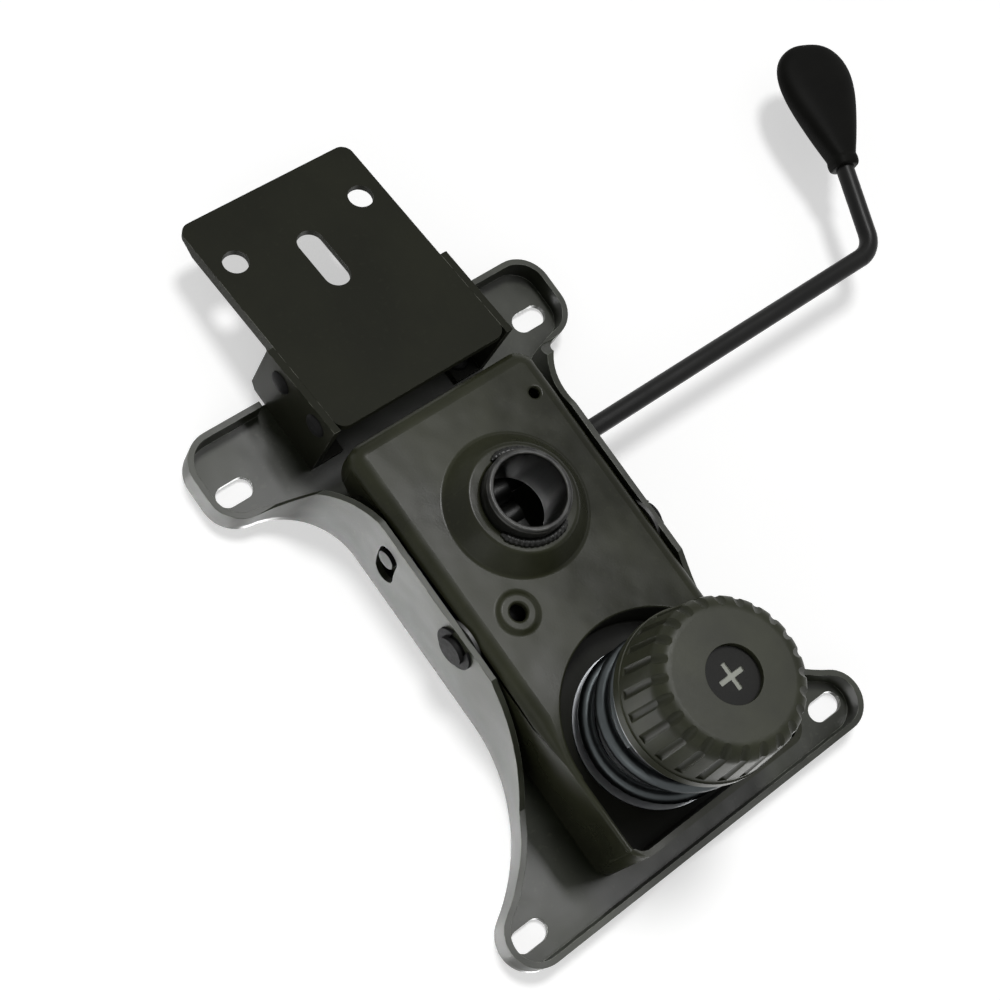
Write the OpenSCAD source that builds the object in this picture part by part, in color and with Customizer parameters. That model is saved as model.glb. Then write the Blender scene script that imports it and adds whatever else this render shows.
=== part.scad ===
// Office chair tilt mechanism: seat plate on a sprung pivot, gas lift socket, tension knob and height lever
// Front of the chair is -Y, the seat is above (+Z), the lever is on the sitter's right (-X)
// The origin is on the gas lift axis, at the mouth of its socket

/* [Seat plate] */
// Height of the seat face above the mouth of the gas lift socket
seat_z = 58.5; // [56:0.5:70]
// Thickness of the seat plate's sheet
seat_sheet = 2.5; // [2:0.1:3]
// Distance between the two front seat slots
seat_front_spacing = 160; // [152:1:180]
// Distance between the two rear seat slots
seat_rear_spacing = 150; // [142:1:170]
// Distance from the front slots to the rear slots
seat_slot_pitch = 200; // [196:1:220]
// Distance of the rear slots behind the gas lift axis
seat_rear_y = 67; // [64:1:72]
// Width of a seat slot
seat_slot_w = 9; // [6:0.1:10]
// Length of a seat slot, end to end
seat_slot_len = 16; // [12:0.5:18]
// Radius of the front ears
front_ear_r = 13; // [11:0.5:15]
// Radius of the rear ears
rear_ear_r = 14; // [11:0.5:16]
// Depth that the rear ears run on behind their slots
rear_ear_run = 10; // [6:1:14]
// Radius of the side curve between waist and front ear
front_curve_r = 75; // [60:1:90]
// Radius of the side curve between waist and rear ear
rear_curve_r = 32; // [28:1:36]
// Depth of the side flange at the waist
waist_flange = 38.5; // [37:0.5:41]
// Depth of the flange round the ears
ear_flange = 12; // [8:0.5:15]
// Diameter of the window over the gas lift button
seat_window_d = 34; // [20:1:36]

/* [Housing] */
// Width over the side walls
pan_w = 90; // [86:1:100]
// Thickness of the housing's sheet
pan_sheet = 2.5; // [2:0.1:3]
// Distance of the front wall ahead of the gas lift axis
pan_front = 134; // [133:0.5:136]
// Distance of the rear wall behind the gas lift axis
pan_rear = 52; // [48:0.5:54]
// Height of the floor's lower face
floor_z = 17; // [14:0.5:18]
// Clearance between the housing's wall tops and the seat plate
pan_top_gap = 3; // [2.5:0.1:4]
// Radius of the housing's corners
pan_corner_r = 8; // [5:0.5:10]
// Height of the spring pocket's roof above the floor
pocket_rise = 17; // [15:0.5:17.5]
// Height of the rear wall above the floor's lower face
rear_wall_h = 16; // [14:0.5:17]
// Depth of the shelves that carry the bumpers
shelf_depth = 16; // [15:0.5:18]

/* [Gas lift socket] */
// Bore diameter at the mouth
taper_d = 28.2; // [26:0.1:30]
// Bore narrowing per millimetre of length
taper_rate = 0.025; // [0.02:0.001:0.04]
// Outside diameter of the bush
bush_d = 34; // [33:0.5:38]
// Length of the bush
bush_len = 25; // [23:0.5:25.5]
// Radius of the drawn boss where it leaves the floor
boss_r = 29; // [25:0.5:32]
// Height of the drawn boss below the floor
boss_h = 9; // [6:0.5:12]
// Thickness of the brace plate round the top of the bush
brace_t = 3; // [2:0.5:3]

/* [Tilt pivot] */
// Distance of the pivot ahead of the gas lift axis
pivot_ahead = 31; // [29:0.5:33]
// Height of the pivot
pivot_z = 29; // [28:0.5:30]
// Diameter of the pivot pin
pin_d = 12; // [10:0.5:12]
// Greatest rearward tilt, in degrees
tilt_max = 12; // [8:0.5:12]
// Radial clearance of turning fits
run_clear = 0.05; // [0.03:0.01:0.08]
// Thickness of the thrust washers between housing and seat plate
thrust_t = 1.3; // [1:0.1:1.6]

/* [Tension spring and knob] */
// Distance of the tension bolt ahead of the gas lift axis
tension_ahead = 97; // [95:0.5:98]
// Wire diameter of the spring
wire_d = 6.2; // [5.4:0.1:6.4]
// Outside diameter of the spring
spring_od = 64; // [58:0.5:65]
// Number of turns
spring_turns = 2.5; // [2.5:0.5:3]
// Diameter of the tension bolt
bolt_d = 10; // [8:0.5:10]
// Diameter over the knob's collar
knob_d = 66; // [65:0.5:67]
// Diameter of the knob's face
knob_face_d = 60.5; // [56:0.5:61]
// Depth of the knob's face below the mouth of the gas lift socket
knob_face_z = 43; // [41:0.5:46]
// Depth of the knob's upper rim below the mouth of the gas lift socket
knob_rim_depth = 12; // [11:0.5:13]
// Radius of the knob's shoulder
knob_edge = 7; // [4:0.5:8]
// Number of flutes round the knob
knob_flutes = 24; // [16:1:30]
// Diameter of the barrel nut
nut_d = 14; // [13:0.5:14]

/* [Height lever] */
// Distance of the lever's axis behind the gas lift axis
lever_behind = 11; // [10:0.5:12]
// Height of the lever's axis
lever_z = 33; // [32.5:0.5:34]
// Diameter of the lever's rod
rod_d = 8; // [7:0.5:8]
// Distance of the rod's bend from the gas lift axis
lever_reach = 222; // [180:1:250]
// Angle of the bend, in degrees
lever_bend = 68; // [45:1:80]
// Inside radius of the bend
bend_r = 8; // [6:0.5:14]
// Length of the rod from the bend's corner to the handle
neck_len = 40; // [34:1:60]
// Length of the handle
handle_len = 62; // [50:1:80]
// Width of the handle at its round end
handle_w = 36; // [28:1:38]
// Width of the handle at its neck
handle_neck_w = 13; // [12:0.5:18]
// Thickness of the handle
handle_t = 14; // [12:0.5:16]
// Distance of the button tongue's nose ahead of the lever's axis
tongue_reach = 19; // [16:0.5:20]

/* [Back bar bracket] */
// Width of the plate
plate_w = 82; // [76:1:84]
// Thickness of the plate
plate_t = 3; // [2.5:0.1:4]
// Length of the plate along its slope
plate_len = 105; // [95:1:115]
// Distance of the plate's front edge behind the gas lift axis
plate_y = 59; // [58:0.5:61]
// Height of the plate's lower face at its front edge
plate_z = 17.4; // [16:0.1:18]
// Slope of the plate, in degrees
plate_slope = 8.9; // [7:0.1:10]
// Distance between the two bar holes
bar_hole_spacing = 61; // [50:0.5:62]
// Diameter of the bar holes
bar_hole_d = 10.5; // [8:0.1:11]
// Distance of the bar holes from the plate's front edge
bar_hole_y = 81; // [79:0.5:83]
// Distance of the middle slot from the plate's front edge
bar_slot_y = 65; // [60:0.5:70]
// Length of the middle slot, end to end
bar_slot_len = 28; // [20:0.5:32]
// Width of the middle slot
bar_slot_w = 11; // [8:0.1:12]
// Thickness of the side cheeks
cheek_t = 3; // [2.5:0.1:3.5]
// Length of the side cheeks
cheek_len = 42; // [40:0.5:46]

/* [Hidden] */

$fn = 64;
eps = 0.01;
// Clearance of pieces that rest on each other across a joint
rest_gap = 0.3;
// Clearance of flat faces that turn on each other
face_gap = 0.1;
// Room for a tool cut to pass a face
past = 1;

web_z = seat_z - seat_sheet;
pivot_y = -pivot_ahead;
tension_y = -tension_ahead;
pan_in = pan_w / 2 - pan_sheet;
thrust_gap = thrust_t + 2 * face_gap;
waist_in = pan_w / 2 + thrust_gap;
waist = waist_in + seat_sheet;
front_x = seat_front_spacing / 2;
rear_x = seat_rear_spacing / 2;
front_hole_y = seat_rear_y - seat_slot_pitch;
seat_front = front_hole_y - front_ear_r;
seat_rear = seat_rear_y + rear_ear_run + rear_ear_r;
wall_top = web_z - pan_top_gap;
floor_top = floor_z + pan_sheet;
pocket_z = floor_z + pocket_rise;
pocket_top = pocket_z + pan_sheet;

// Height of the seat plate's underside at distance y when fully tilted
function tilted_web(y) = pivot_z + (web_z - pivot_z) / cos(tilt_max) - tan(tilt_max) * (y - pivot_y);
// Height of the bracket plate's lower face at distance y
function plate_under(y) = plate_z + (y - plate_y) * tan(plate_slope);

steel = [0.16, 0.16, 0.14];
plate_grey = [0.2, 0.2, 0.17];
zinc = [0.6, 0.62, 0.65];
spring_grey = [0.36, 0.38, 0.42];
black = [0.06, 0.06, 0.06];
knob_grey = [0.2, 0.2, 0.18];
nylon = [0.75, 0.74, 0.68];
rubber = [0.1, 0.1, 0.1];

module both_sides() {
    children();
    mirror([1, 0, 0]) children();
}

// Cylinder along X between two x values, at (y, z)
module x_cyl(x1, x2, y, z, r) {
    translate([x1, y, z]) rotate([0, 90, 0]) cylinder(h = x2 - x1, r = r);
}

// Extrudes a side profile drawn in (Y, Z) between two x values
module side_profile(x1, x2) {
    translate([x1, 0, 0]) rotate([90, 0, 90]) linear_extrude(x2 - x1) children();
}

module slot_2d(len, w) {
    square([len - w, w], center = true);
    for (s = [-1, 1]) translate([s * (len - w) / 2, 0]) circle(d = w);
}

module rounded_rect(x1, y1, x2, y2, r) {
    translate([x1 + r, y1]) square([x2 - x1 - 2 * r, y2 - y1]);
    translate([x1, y1 + r]) square([x2 - x1, y2 - y1 - 2 * r]);
    for (x = [x1 + r, x2 - r], y = [y1 + r, y2 - r]) translate([x, y]) circle(r);
}

module ring(z1, z2, r_out, r_in) {
    translate([0, 0, z1]) difference() {
        cylinder(h = z2 - z1, r = r_out);
        translate([0, 0, -past]) cylinder(h = z2 - z1 + 2 * past, r = r_in);
    }
}

// Seat plate

// Centres of the side curves, tangent to the waist and to the ears
front_curve_x = waist + front_curve_r;
rear_curve_x = waist + rear_curve_r;
front_curve_y = front_hole_y + sqrt(pow(front_curve_r + front_ear_r, 2) - pow(front_curve_x - front_x, 2));
rear_curve_y = seat_rear_y - sqrt(pow(rear_curve_r + rear_ear_r, 2) - pow(rear_curve_x - rear_x, 2));
ear_z = seat_z - ear_flange;
ear_shoulder = 8;
// Length of shallow flange behind the front slots, and of deep flange ahead of the pivot
front_ear_run = 3 * front_ear_r;
waist_run = 1.5 * pin_d;
waist_z = seat_z - waist_flange;

module seat_outline(inset) {
    both_sides() difference() {
        union() {
            polygon([
                [0, seat_front + inset], [front_x, seat_front + inset], [front_x, front_hole_y],
                [front_curve_x, front_curve_y], [rear_curve_x, rear_curve_y], [rear_x, seat_rear_y],
                [rear_x, seat_rear - inset], [0, seat_rear - inset]
            ]);
            translate([front_x, front_hole_y]) circle(front_ear_r - inset);
            for (y = [0, rear_ear_run]) translate([rear_x, seat_rear_y + y]) circle(rear_ear_r - inset);
            translate([rear_x, seat_rear_y]) square([rear_ear_r - inset, rear_ear_run]);
        }
        translate([front_curve_x, front_curve_y]) circle(front_curve_r + inset, $fn = 160);
        translate([rear_curve_x, rear_curve_y]) circle(rear_curve_r + inset, $fn = 96);
        translate([waist - inset, front_curve_y])
            square([front_curve_r, rear_curve_y - front_curve_y]);
    }
}

// Side view of what the seat plate's flange keeps: deep at the waist, shallow round the ears
module flange_profile() {
    front_slope_y = front_hole_y + front_ear_run;
    rear_slope_y = seat_rear_y - rear_ear_r;
    polygon([
        [seat_front - past, seat_z], [seat_front - past, ear_z], [front_slope_y, ear_z],
        [pivot_y - waist_run, waist_z], [rear_curve_y, waist_z],
        [rear_slope_y - ear_shoulder, waist_z + ear_shoulder], [rear_slope_y, ear_z],
        [seat_rear + past, ear_z], [seat_rear + past, seat_z]
    ]);
}

// Arc slot that lets the lever's rod pass the tilting side flange
lever_arm = norm([lever_behind - pivot_y, lever_z - pivot_z]);
lever_angle = atan2(lever_z - pivot_z, lever_behind - pivot_y);
rod_room = 2;
rod_pass = rod_d + rod_room;
slot_spare = 1.5;

module rod_slot_2d() {
    translate([pivot_y, pivot_z]) {
        intersection() {
            difference() {
                circle(lever_arm + rod_pass / 2);
                circle(lever_arm - rod_pass / 2);
            }
            polygon([
                [0, 0], 2 * lever_arm * [cos(lever_angle - slot_spare), sin(lever_angle - slot_spare)],
                2 * lever_arm * [cos(lever_angle + tilt_max + slot_spare), sin(lever_angle + tilt_max + slot_spare)]
            ]);
        }
        for (a = [-slot_spare, tilt_max + slot_spare])
            translate(lever_arm * [cos(lever_angle + a), sin(lever_angle + a)]) circle(d = rod_pass);
    }
}

bolt_window_room = 4;
bolt_window_w = bolt_d + bolt_window_room;
tilt_lift = (tension_ahead - pivot_ahead) * sin(tilt_max);
bolt_window_len = bolt_window_w + (seat_z - pivot_z + tilt_lift) * sin(tilt_max);
cheek_x = plate_w / 2;
cheek_y = plate_y;
foot_in = 12;
rivet_d = 6;
rivet_head_d = 10;
rivet_head_h = 2;
rivet_sink = 1.5;
rivet_sink_d = 9;
foot_rivet_x = cheek_x - foot_in / 2;
foot_rivet_y1 = 8;
foot_rivet_pitch = 16;
foot_rivet_ys = [cheek_y + foot_rivet_y1, cheek_y + foot_rivet_y1 + foot_rivet_pitch];

module seat_plate() {
    color(steel) difference() {
        union() {
            translate([0, 0, web_z]) linear_extrude(seat_sheet) seat_outline(0);
            intersection() {
                translate([0, 0, waist_z]) linear_extrude(waist_flange) difference() {
                    seat_outline(0);
                    seat_outline(seat_sheet);
                    translate([-waist, seat_rear - 2 * seat_sheet]) square([2 * waist, 4 * seat_sheet]);
                }
                side_profile(-front_x - 2 * front_ear_r, front_x + 2 * front_ear_r) flange_profile();
            }
        }
        both_sides() {
            translate([front_x, front_hole_y, web_z - past]) linear_extrude(seat_sheet + 2 * past)
                slot_2d(seat_slot_len, seat_slot_w);
            translate([rear_x, seat_rear_y, web_z - past]) linear_extrude(seat_sheet + 2 * past)
                slot_2d(seat_slot_len, seat_slot_w);
        }
        translate([0, 0, web_z - past]) cylinder(h = seat_sheet + 2 * past, d = seat_window_d);
        translate([0, tension_y + (bolt_window_w - bolt_window_len) / 2, web_z - past])
            linear_extrude(seat_sheet + 2 * past) rotate(90) slot_2d(bolt_window_len, bolt_window_w);
        x_cyl(-waist - past, waist + past, pivot_y, pivot_z, pin_d / 2);
        side_profile(-waist - rear_curve_r, waist + rear_curve_r) rod_slot_2d();
        both_sides() {
            for (y = foot_rivet_ys) translate([foot_rivet_x, y, seat_z]) flush_hole();
            for (y = saddle_rivet_ys) translate([saddle_rivet_x, y, seat_z]) flush_hole();
        }
    }
}

// Back bar bracket: sloping plate with turned-up lips, held between two cheeks under the seat plate

lip_front = 14;
lip_rear = 6;
lip_step_y = cheek_len + 4;
plate_corner_r = 5;
plate_rivet_ys = [10, 32];

module on_slope() {
    translate([0, plate_y, plate_z]) rotate([plate_slope, 0, 0]) children();
}

module bracket_plate() {
    color(plate_grey) on_slope() difference() {
        union() {
            linear_extrude(plate_t)
                rounded_rect(-plate_w / 2, 0, plate_w / 2, plate_len, plate_corner_r);
            both_sides() side_profile(plate_w / 2 - plate_t, plate_w / 2) polygon([
                [plate_corner_r, eps], [plate_corner_r, lip_front], [lip_step_y - lip_rear, lip_front],
                [lip_step_y, lip_rear], [plate_len - plate_corner_r - lip_rear, lip_rear],
                [plate_len - plate_corner_r, plate_t], [plate_len - plate_corner_r, eps]
            ]);
        }
        for (s = [-1, 1]) translate([s * bar_hole_spacing / 2, bar_hole_y, -past])
            cylinder(h = plate_t + 2 * past, d = bar_hole_d);
        translate([0, bar_slot_y, -past]) linear_extrude(plate_t + 2 * past) rotate(90)
            slot_2d(bar_slot_len, bar_slot_w);
        for (y = plate_rivet_ys)
            x_cyl(-plate_w, plate_w, y, (plate_t + lip_front) / 2, rivet_d / 2);
    }
}

module bracket_cheeks() {
    rear_y = cheek_y + cheek_len;
    color(steel) both_sides() difference() {
        union() {
            side_profile(cheek_x, cheek_x + cheek_t) polygon([
                [cheek_y, plate_under(cheek_y)], [rear_y, plate_under(rear_y)],
                [rear_y, web_z - cheek_t], [rear_y - cheek_t, web_z], [cheek_y, web_z]
            ]);
            translate([cheek_x - foot_in, cheek_y, web_z - cheek_t])
                cube([foot_in + eps, foot_rivet_ys[1] + rivet_head_d - cheek_y, cheek_t]);
        }
        on_slope() for (y = plate_rivet_ys)
            x_cyl(cheek_x - past, cheek_x + cheek_t + past, y, (plate_t + lip_front) / 2, rivet_d / 2);
        for (y = foot_rivet_ys) translate([foot_rivet_x, y, web_z - cheek_t - past])
            cylinder(h = cheek_t + 2 * past, d = rivet_d);
    }
}

// Half outline of a rivet's domed head, below z = 0
dome = [for (a = [0:15:90]) [rivet_head_d / 2 * sin(a), -rivet_head_h * cos(a)]];

// Rivet along +Z through a grip from z = 0, with a domed head at each end
module rivet(grip) {
    upper = [for (i = [len(dome) - 1:-1:0]) [dome[i][0], grip - dome[i][1]]];
    rotate_extrude() polygon(concat(dome, [[rivet_d / 2, 0], [rivet_d / 2, grip]], upper));
}

// Rivet whose upper end lies flush in a countersunk hole
module flush_rivet(grip) {
    rotate_extrude() polygon(concat(dome, [
        [rivet_d / 2, 0], [rivet_d / 2, grip - rivet_sink], [rivet_sink_d / 2, grip], [0, grip]
    ]));
}

// Countersunk hole down from z = 0
module flush_hole() {
    translate([0, 0, -seat_sheet - past]) cylinder(h = seat_sheet + 2 * past, d = rivet_d);
    translate([0, 0, -rivet_sink]) cylinder(h = rivet_sink, d1 = rivet_d, d2 = rivet_sink_d);
    cylinder(h = past, d = rivet_sink_d);
}

module cheek_rivets() {
    color(zinc) both_sides() for (y = foot_rivet_ys)
        translate([foot_rivet_x, y, web_z - cheek_t]) flush_rivet(cheek_t + seat_sheet);
}

module plate_rivets() {
    color(zinc) both_sides() on_slope() for (y = plate_rivet_ys)
        translate([cheek_x - plate_t, y, (plate_t + lip_front) / 2]) rotate([0, 90, 0]) rivet(plate_t + cheek_t);
}

// Tilt pivot

pin_out = 3;
clip_t = 1.2;
clip_groove = 1;
clip_out = 3;
clip_r = pin_d / 2 + clip_out;
bush_wall = 2;
bush_flange_t = 1.5;
bush_flange_out = 2.5;
bush_flange_r = pin_d / 2 + bush_wall + bush_flange_out;
// Radius of a wall bush's flange, which stays clear of the floor
function wall_flange_r(z, shaft_r) = min(shaft_r + bush_wall + bush_flange_out, z - floor_top - rest_gap);

module pivot_pin() {
    end = waist + pin_out;
    color(zinc) difference() {
        x_cyl(-end, end, pivot_y, pivot_z, pin_d / 2);
        both_sides() difference() {
            x_cyl(waist, waist + clip_t, pivot_y, pivot_z, pin_d);
            x_cyl(waist - past, waist + clip_t + past, pivot_y, pivot_z, pin_d / 2 - clip_groove);
        }
    }
}

module pivot_clips() {
    mouth = pin_d - 3 * clip_groove;
    color(zinc) both_sides() difference() {
        x_cyl(waist, waist + clip_t, pivot_y, pivot_z, clip_r);
        x_cyl(waist - past, waist + clip_t + past, pivot_y, pivot_z, pin_d / 2 - clip_groove);
        translate([waist - past, pivot_y - mouth / 2, pivot_z - 2 * clip_r])
            cube([clip_t + 2 * past, mouth, 2 * clip_r]);
    }
}

module thrust_washers() {
    color(nylon) both_sides() difference() {
        x_cyl(pan_w / 2 + face_gap, waist_in - face_gap, pivot_y, pivot_z, bush_flange_r);
        x_cyl(pan_w / 2, waist_in, pivot_y, pivot_z, pin_d / 2 + run_clear);
    }
}

// Flanged bush in each housing wall at (y, z), with its flange inside
module wall_bushes(y, z, shaft_r) {
    both_sides() difference() {
        union() {
            x_cyl(pan_in - bush_flange_t, pan_w / 2, y, z, shaft_r + bush_wall);
            x_cyl(pan_in - bush_flange_t, pan_in, y, z, wall_flange_r(z, shaft_r));
        }
        x_cyl(pan_in - bush_flange_t - past, pan_w / 2 + past, y, z, shaft_r + run_clear);
    }
}

module pivot_bushes() {
    color(nylon) wall_bushes(pivot_y, pivot_z, pin_d / 2);
}

module lever_bushes() {
    color(nylon) wall_bushes(lever_behind, lever_z, rod_d / 2);
}

// Housing

// The round part of the pocket stands a little inside the side walls
pocket_step = 0.5;
pocket_r = pan_in - pocket_step;
shelf_z = wall_top - pan_sheet;
rear_shelf_z = floor_z + rear_wall_h;
bolt_hole_room = 6;
bolt_hole_d = bolt_d + bolt_hole_room;
boss_z = floor_z - boss_h;
dimple_x = 25.5;
dimple_y = -34;
dimple_d = 7;
dimple_rim_d = 17;
dimple_rim_h = 1.2;
drain_x = -35;
drain_y = 33;
drain_d = 4.5;

// Plan of the spring pocket, round behind the bolt and square in front of it
module pocket_plan(grow) {
    translate([0, tension_y]) intersection() {
        circle(pocket_r + grow, $fn = 128);
        translate([-pan_w, -past]) square([2 * pan_w, pan_w]);
    }
    translate([-pan_in - grow, -pan_front + pan_sheet - grow])
        square([2 * (pan_in + grow), pan_front - tension_ahead - pan_sheet + grow]);
}

module pan_plan(inset) {
    rounded_rect(-pan_w / 2 + inset, -pan_front + inset, pan_w / 2 - inset, pan_rear - inset, pan_corner_r - inset);
}

// Side view of the walls: level as far as the pivot, then falling clear of the tilted seat plate
module wall_profile() {
    polygon([
        [-pan_front - past, floor_z - past], [-pan_front - past, wall_top], [pivot_y, wall_top],
        [pan_rear - shelf_depth, tilted_web(pan_rear - shelf_depth) - pan_top_gap],
        [pan_rear - pan_sheet, rear_shelf_z], [pan_rear + past, rear_shelf_z], [pan_rear + past, floor_z - past]
    ]);
}

module housing_pan() {
    color(steel) difference() {
        union() {
            intersection() {
                translate([0, 0, floor_z]) linear_extrude(wall_top - floor_z) difference() {
                    pan_plan(0);
                    pan_plan(pan_sheet);
                }
                side_profile(-pan_w, pan_w) wall_profile();
            }
            translate([0, 0, floor_z]) linear_extrude(pan_sheet) difference() {
                pan_plan(0);
                pocket_plan(0);
            }
            translate([0, 0, floor_z]) linear_extrude(pocket_top - floor_z) intersection() {
                pan_plan(0);
                difference() {
                    pocket_plan(pan_sheet);
                    pocket_plan(0);
                }
            }
            translate([0, 0, pocket_z]) linear_extrude(pan_sheet) intersection() {
                pan_plan(0);
                pocket_plan(pan_sheet);
            }
            translate([0, 0, shelf_z]) linear_extrude(pan_sheet) intersection() {
                pan_plan(0);
                translate([-pan_w, -pan_front]) square([2 * pan_w, shelf_depth]);
            }
            translate([0, 0, rear_shelf_z - pan_sheet]) linear_extrude(pan_sheet) intersection() {
                pan_plan(0);
                translate([-pan_w, pan_rear - shelf_depth]) square([2 * pan_w, shelf_depth]);
            }
            translate([dimple_x, dimple_y, floor_z - dimple_rim_h])
                cylinder(h = dimple_rim_h + eps, d1 = dimple_rim_d - 2 * dimple_rim_h, d2 = dimple_rim_d);
            rotate_extrude() polygon([
                [boss_r, floor_top], [boss_r, floor_z], [bush_d / 2 + 2 * pan_sheet, boss_z],
                [bush_d / 2, boss_z], [bush_d / 2, boss_z + pan_sheet], [boss_r - 2 * pan_sheet, floor_top]
            ]);
        }
        translate([0, 0, floor_z - past]) cylinder(h = pan_sheet + 2 * past, d = bush_d);
        rotate_extrude() polygon([
            [0, floor_top + past], [boss_r - 2 * pan_sheet, floor_top + past], [boss_r - 2 * pan_sheet, floor_top],
            [bush_d / 2 + pan_sheet, boss_z + pan_sheet], [0, boss_z + pan_sheet]
        ]);
        translate([0, tension_y, pocket_z - past]) cylinder(h = pan_sheet + 2 * past, d = bolt_hole_d);
        x_cyl(-pan_w, pan_w, pivot_y, pivot_z, pin_d / 2 + bush_wall);
        x_cyl(-pan_w, pan_w, lever_behind, lever_z, rod_d / 2 + bush_wall);
        translate([dimple_x, dimple_y, floor_z - 2 * past]) cylinder(h = pan_sheet + 3 * past, d = dimple_d);
        translate([drain_x, drain_y, floor_z - past]) cylinder(h = pan_sheet + 2 * past, d = drain_d);
        bumper_places() translate([0, 0, -2 * pan_sheet]) cylinder(h = 3 * pan_sheet, d = bumper_stem_d);
    }
}

function taper_r(z) = (taper_d - taper_rate * z) / 2;
mouth_bevel = 1;

module gas_lift_bush() {
    color(steel) rotate_extrude() polygon([
        [taper_r(0) + mouth_bevel / 2, 0], [bush_d / 2 - mouth_bevel, 0], [bush_d / 2, mouth_bevel],
        [bush_d / 2, bush_len], [taper_r(bush_len), bush_len], [taper_r(mouth_bevel), mouth_bevel]
    ]);
}

// The brace passes under the lever's bushes and behind the pivot's
brace_top = min(bush_len, lever_z - wall_flange_r(lever_z, rod_d / 2) - rest_gap);
brace_len = 2 * (pivot_ahead - wall_flange_r(pivot_z, pin_d / 2) - rest_gap);

module bush_brace() {
    brace_z = brace_top - brace_t;
    color(steel) difference() {
        union() {
            translate([-pan_in, -brace_len / 2, brace_z]) cube([2 * pan_in, brace_len, brace_t]);
            both_sides() translate([pan_in - brace_t, -brace_len / 2, floor_top])
                cube([brace_t, brace_len, brace_z - floor_top + eps]);
        }
        translate([0, 0, brace_z - past]) cylinder(h = brace_t + 2 * past, d = bush_d);
    }
}

// Rubber bumpers: the front pair holds the seat plate level, the rear pair stops its tilt

bumper_d = 14;
bumper_stem_d = 6;
bumper_stem_out = 1;
bumper_edge = 1.5;
front_bumper_x = 28;
rear_bumper_x = 24;

module bumper_places() {
    both_sides() translate([front_bumper_x, -pan_front + shelf_depth / 2, wall_top]) children();
    both_sides() translate([rear_bumper_x, pan_rear - shelf_depth / 2, rear_shelf_z]) children();
}

// Bumper with a bevelled top, on a stem that fills its hole in a shelf
module bumper(h) {
    edge = min(bumper_edge, h / 2);
    stem_low = -pan_sheet - bumper_stem_out;
    rotate_extrude() polygon([
        [0, stem_low], [bumper_stem_d / 2, stem_low], [bumper_stem_d / 2, 0],
        [bumper_d / 2, 0], [bumper_d / 2, h - edge], [bumper_d / 2 - edge, h], [0, h]
    ]);
}

module front_bumpers() {
    color(rubber) both_sides() translate([front_bumper_x, -pan_front + shelf_depth / 2, wall_top])
        bumper(web_z - wall_top - rest_gap);
}

module rear_bumpers() {
    y = pan_rear - shelf_depth / 2;
    color(rubber) both_sides() translate([rear_bumper_x, y, rear_shelf_z])
        bumper(tilted_web(y + bumper_d / 2) - rear_shelf_z - rest_gap);
}

// Tension spring between the pocket's roof and the cup of the knob

seat_t = 1;
washer_t = 1.5;
washer_in = 2;
knob_rim_z = -knob_rim_depth;
spring_r = (spring_od - wire_d) / 2;
upper_seat_z = pocket_z - seat_t;
lower_seat_z = knob_rim_z + face_gap + washer_t;
spring_low = lower_seat_z + seat_t + rest_gap + wire_d / 2;
spring_high = upper_seat_z - rest_gap - wire_d / 2;
rings_per_turn = 8;
wire_sides = 6;
end_turns = 0.5;
end_pitch = wire_d + 1;
mid_pitch = (spring_high - spring_low - 2 * end_turns * end_pitch) / (spring_turns - 2 * end_turns);
spring_rings = round(spring_turns * rings_per_turn);

// Height of the wire's centre after t turns, with close wound ends
function wire_z(t) = spring_low + end_pitch * min(t, end_turns)
    + mid_pitch * max(0, min(t, spring_turns - end_turns) - end_turns)
    + end_pitch * max(0, t - spring_turns + end_turns);
function wire_at(t) = [spring_r * cos(360 * t), spring_r * sin(360 * t), wire_z(t)];
function wire_ring(t) = [for (k = [0:wire_sides - 1]) let (a = 360 * k / wire_sides)
    wire_at(t) + wire_d / 2 * [cos(a) * cos(360 * t), cos(a) * sin(360 * t), sin(a)]];
function ring_quads(i) = [for (k = [0:wire_sides - 1]) let (n = (k + 1) % wire_sides, a = i * wire_sides)
    each [[a + k, a + wire_sides + k, a + n], [a + n, a + wire_sides + k, a + wire_sides + n]]];
spring_gap = min([for (i = [0:spring_rings - rings_per_turn])
    norm(wire_at((i + rings_per_turn) / rings_per_turn) - wire_at(i / rings_per_turn))]) - wire_d;

module tension_spring() {
    echo(least_gap_between_turns = spring_gap);
    last = spring_rings * wire_sides;
    color(spring_grey) translate([0, tension_y, 0]) polyhedron(
        points = [for (i = [0:spring_rings]) each wire_ring(i / rings_per_turn)],
        faces = concat(
            [for (i = [0:spring_rings - 1]) each ring_quads(i)],
            [for (k = [1:wire_sides - 2]) [0, k, k + 1]],
            [for (k = [1:wire_sides - 2]) [last, last + k + 1, last + k]]
        ));
}

seat_hole_r = bolt_hole_d / 2;
seat_lip_r = (spring_od / 2 - wire_d) * cos(180 / rings_per_turn) - rest_gap;
seat_lip_h = 4;

module upper_spring_seat() {
    color(zinc) translate([0, tension_y, 0]) {
        ring(upper_seat_z, pocket_z, spring_od / 2, seat_hole_r);
        ring(upper_seat_z - seat_lip_h, upper_seat_z + eps, seat_lip_r, seat_lip_r - 2 * seat_t);
    }
}

module lower_spring_seat() {
    color(zinc) translate([0, tension_y, 0]) {
        ring(lower_seat_z, lower_seat_z + seat_t, spring_od / 2, bolt_d / 2 + rest_gap);
        ring(lower_seat_z + seat_t - eps, lower_seat_z + seat_t + seat_lip_h, seat_lip_r, seat_lip_r - 2 * seat_t);
    }
}

module knob_washer() {
    color(nylon) translate([0, tension_y, 0])
        ring(knob_rim_z + face_gap, lower_seat_z, spring_od / 2 - washer_in, bolt_d / 2 + rest_gap);
}

// Knob, bolt and barrel nut

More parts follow.
